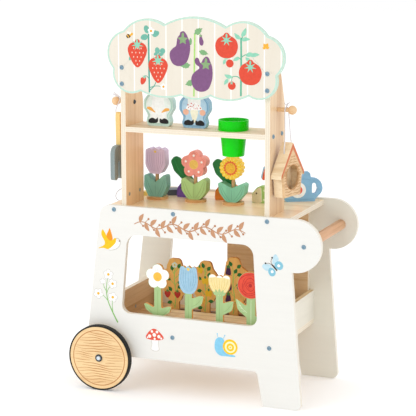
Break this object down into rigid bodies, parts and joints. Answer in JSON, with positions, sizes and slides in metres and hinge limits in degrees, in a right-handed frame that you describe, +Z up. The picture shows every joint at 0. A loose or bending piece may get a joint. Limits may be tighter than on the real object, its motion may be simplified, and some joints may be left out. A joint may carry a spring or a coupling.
{
  "type": "toy garden stall cart",
  "caption": "Push-along wooden toy garden stall with wheels, handle, planter of slot-in flowers and trees, counter, fruit sign, hanging tools and loose toys.",
  "frame": {"origin": "on the floor, at the centre of the cart's outline from above, wheels and handle included", "axes": "+Z up, +X from the wheel axle towards the push handle, -Y the front with the printed sign and panel"},
  "size_m": [0.6269, 0.3528, 0.9],
  "materials": {
    "front_panel": "satin white paint on plywood, printed motifs, bare sanded edges",
    "rear_panel": "satin white paint on plywood, bare sanded edges",
    "counter_top": "painted or oiled wood, satin",
    "left_upright": "painted or oiled wood, satin",
    "right_upright": "painted or oiled wood, satin",
    "upper_shelf": "painted or oiled wood, satin",
    "sign_board": "satin white paint, printed fruit motifs, mint rim",
    "hanging_pegs": "painted or oiled wood, satin",
    "planter_floor": "painted or oiled wood, satin",
    "planter_end_left": "painted or oiled wood, satin",
    "planter_end_right": "painted or oiled wood, satin",
    "flower_rack": "painted or oiled wood, satin",
    "tree_rack": "painted or oiled wood, satin",
    "rear_backboard": "painted or oiled wood, satin",
    "handle_bar": "painted or oiled wood, satin",
    "axle_rod": "bright turned steel",
    "axle_bushes": "dull turned",
    "axle_washers": "zinc plated",
    "axle_screws": "dark zinc plated",
    "furniture_screws": "blue-grey lacquered screw heads",
    "barrel_nuts": "zinc plated",
    "front_wheel": "painted or oiled wood, satin",
    "front_tyre": "thin black rubber band",
    "rear_wheel": "painted or oiled wood, satin",
    "rear_tyre": "thin black rubber band",
    "tulip_leaves": "painted or oiled wood, satin",
    "tulip_base": "painted or oiled wood, satin",
    "tulip_bloom": "painted or oiled wood, satin",
    "pink_leaves": "painted or oiled wood, satin",
    "pink_back_leaf": "painted or oiled wood, satin",
    "pink_base": "painted or oiled wood, satin",
    "pink_bloom": "painted or oiled wood, satin",
    "sun_leaves": "painted or oiled wood, satin",
    "sun_back_leaf": "painted or oiled wood, satin",
    "sun_base": "painted or oiled wood, satin",
    "sun_bloom": "painted or oiled wood, satin",
    "daisy_board": "painted or oiled wood, satin",
    "blue_tulip_board": "painted or oiled wood, satin",
    "yellow_tulip_board": "painted or oiled wood, satin",
    "rose_board": "painted or oiled wood, satin",
    "berry_tree": "painted or oiled wood, satin",
    "pepper_tree": "painted or oiled wood, satin",
    "aubergine_tree": "painted or oiled wood, satin",
    "green_pot": "smooth bright green lacquer",
    "mint_sack": "painted or oiled wood, satin",
    "blue_sack": "painted or oiled wood, satin",
    "watering_can": "painted or oiled wood, satin",
    "purple_beetle": "painted or oiled wood, satin",
    "orange_beetle": "painted or oiled wood, satin",
    "green_beetle": "painted or oiled wood, satin",
    "birdhouse_front": "painted or oiled wood, satin",
    "birdhouse_case": "painted or oiled wood, satin",
    "birdhouse_cord": "twisted white cotton cord",
    "fork_head": "painted or oiled wood, satin",
    "fork_handle": "painted or oiled wood, satin",
    "fork_cord": "twisted white cotton cord",
    "spade_blade": "painted or oiled wood, satin",
    "spade_handle": "painted or oiled wood, satin",
    "spade_cord": "twisted white cotton cord"
  },
  "bodies": {
    "frame": {"front_panel": "front_panel", "rear_panel": "rear_panel", "counter_top": "counter_top", "left_upright": "left_upright", "right_upright": "right_upright", "upper_shelf": "upper_shelf", "sign_board": "sign_board", "hanging_pegs": "hanging_pegs", "planter_floor": "planter_floor", "planter_end_left": "planter_end_left", "planter_end_right": "planter_end_right", "flower_rack": "flower_rack", "tree_rack": "tree_rack", "rear_backboard": "rear_backboard", "handle_bar": "handle_bar", "axle_rod": "axle_rod", "axle_bushes": "axle_bushes", "axle_washers": "axle_washers", "axle_screws": "axle_screws", "furniture_screws": "furniture_screws", "barrel_nuts": "barrel_nuts"},
    "front_wheel": {"front_wheel": "front_wheel", "front_tyre": "front_tyre"},
    "rear_wheel": {"rear_wheel": "rear_wheel", "rear_tyre": "rear_tyre"},
    "tulip_plant": {"tulip_leaves": "tulip_leaves", "tulip_base": "tulip_base"},
    "tulip_head": {"tulip_bloom": "tulip_bloom"},
    "pink_plant": {"pink_leaves": "pink_leaves", "pink_back_leaf": "pink_back_leaf", "pink_base": "pink_base"},
    "pink_head": {"pink_bloom": "pink_bloom"},
    "sun_plant": {"sun_leaves": "sun_leaves", "sun_back_leaf": "sun_back_leaf", "sun_base": "sun_base"},
    "sun_head": {"sun_bloom": "sun_bloom"},
    "daisy": {"daisy_board": "daisy_board"},
    "blue_tulip": {"blue_tulip_board": "blue_tulip_board"},
    "yellow_tulip": {"yellow_tulip_board": "yellow_tulip_board"},
    "rose": {"rose_board": "rose_board"},
    "berry_tree": {"berry_tree": "berry_tree"},
    "pepper_tree": {"pepper_tree": "pepper_tree"},
    "aubergine_tree": {"aubergine_tree": "aubergine_tree"},
    "pot": {"green_pot": "green_pot"},
    "mint_sack": {"mint_sack": "mint_sack"},
    "blue_sack": {"blue_sack": "blue_sack"},
    "can": {"watering_can": "watering_can"},
    "purple_beetle": {"purple_beetle": "purple_beetle"},
    "orange_beetle": {"orange_beetle": "orange_beetle"},
    "green_beetle": {"green_beetle": "green_beetle"},
    "birdhouse": {"birdhouse_front": "birdhouse_front", "birdhouse_case": "birdhouse_case", "birdhouse_cord": "birdhouse_cord"},
    "fork": {"fork_head": "fork_head", "fork_handle": "fork_handle", "fork_cord": "fork_cord"},
    "spade": {"spade_blade": "spade_blade", "spade_handle": "spade_handle", "spade_cord": "spade_cord"}
  },
  "joints": [
    {"name": "front_wheel_spin", "type": "hinge", "parent": "frame", "child": "front_wheel", "pos_m": [-0.2335, -0.164, 0.08], "axis": [0, 1, 0], "continuous": true},
    {"name": "rear_wheel_spin", "type": "hinge", "parent": "frame", "child": "rear_wheel", "pos_m": [-0.2335, 0.164, 0.08], "axis": [0, 1, 0], "continuous": true},
    {"name": "birdhouse_swing", "type": "hinge", "parent": "frame", "child": "birdhouse", "pos_m": [0.2095, -0.082, 0.69], "axis": [1, 0, 0], "range_deg": [-30, 30]},
    {"name": "fork_swing", "type": "hinge", "parent": "frame", "child": "fork", "pos_m": [-0.2155, -0.082, 0.69], "axis": [1, 0, 0], "range_deg": [-30, 30]},
    {"name": "tulip_plant_lift", "type": "slide", "parent": "frame", "child": "tulip_plant", "axis": [0, 0, 1], "range_m": [0, 0.1]},
    {"name": "tulip_head_lift", "type": "slide", "parent": "tulip_plant", "child": "tulip_head", "axis": [0, 0, 1], "range_m": [0, 0.03]},
    {"name": "pink_plant_lift", "type": "slide", "parent": "frame", "child": "pink_plant", "axis": [0, 0, 1], "range_m": [0, 0.1]},
    {"name": "pink_head_lift", "type": "slide", "parent": "pink_plant", "child": "pink_head", "axis": [0, 0, 1], "range_m": [0, 0.03]},
    {"name": "sun_plant_lift", "type": "slide", "parent": "frame", "child": "sun_plant", "axis": [0, 0, 1], "range_m": [0, 0.1]},
    {"name": "sun_head_lift", "type": "slide", "parent": "sun_plant", "child": "sun_head", "axis": [0, 0, 1], "range_m": [0, 0.03]},
    {"name": "daisy_lift", "type": "slide", "parent": "frame", "child": "daisy", "axis": [0, 0, 1], "range_m": [0, 0.1]},
    {"name": "blue_tulip_lift", "type": "slide", "parent": "frame", "child": "blue_tulip", "axis": [0, 0, 1], "range_m": [0, 0.1]},
    {"name": "yellow_tulip_lift", "type": "slide", "parent": "frame", "child": "yellow_tulip", "axis": [0, 0, 1], "range_m": [0, 0.1]},
    {"name": "rose_lift", "type": "slide", "parent": "frame", "child": "rose", "axis": [0, 0, 1], "range_m": [0, 0.1]},
    {"name": "berry_tree_lift", "type": "slide", "parent": "frame", "child": "berry_tree", "axis": [0, 0, 1], "range_m": [0, 0.1]},
    {"name": "pepper_tree_lift", "type": "slide", "parent": "frame", "child": "pepper_tree", "axis": [0, 0, 1], "range_m": [0, 0.1]},
    {"name": "aubergine_tree_lift", "type": "slide", "parent": "frame", "child": "aubergine_tree", "axis": [0, 0, 1], "range_m": [0, 0.1]},
    {"name": "pot_lift", "type": "slide", "parent": "frame", "child": "pot", "axis": [0, 0, 1], "range_m": [0, 0.1]},
    {"name": "mint_sack_lift", "type": "slide", "parent": "frame", "child": "mint_sack", "axis": [0, 0, 1], "range_m": [0, 0.1]},
    {"name": "blue_sack_lift", "type": "slide", "parent": "frame", "child": "blue_sack", "axis": [0, 0, 1], "range_m": [0, 0.1]},
    {"name": "can_lift", "type": "slide", "parent": "frame", "child": "can", "axis": [0, 0, 1], "range_m": [0, 0.1]},
    {"name": "purple_beetle_lift", "type": "slide", "parent": "frame", "child": "purple_beetle", "axis": [0, 0, 1], "range_m": [0, 0.06]},
    {"name": "orange_beetle_lift", "type": "slide", "parent": "frame", "child": "orange_beetle", "axis": [0, 0, 1], "range_m": [0, 0.06]},
    {"name": "green_beetle_lift", "type": "slide", "parent": "frame", "child": "green_beetle", "axis": [0, 0, 1], "range_m": [0, 0.01]},
    {"name": "spade_lift", "type": "slide", "parent": "frame", "child": "spade", "axis": [0, 0, 1], "range_m": [0, 0.06]}
  ]
}
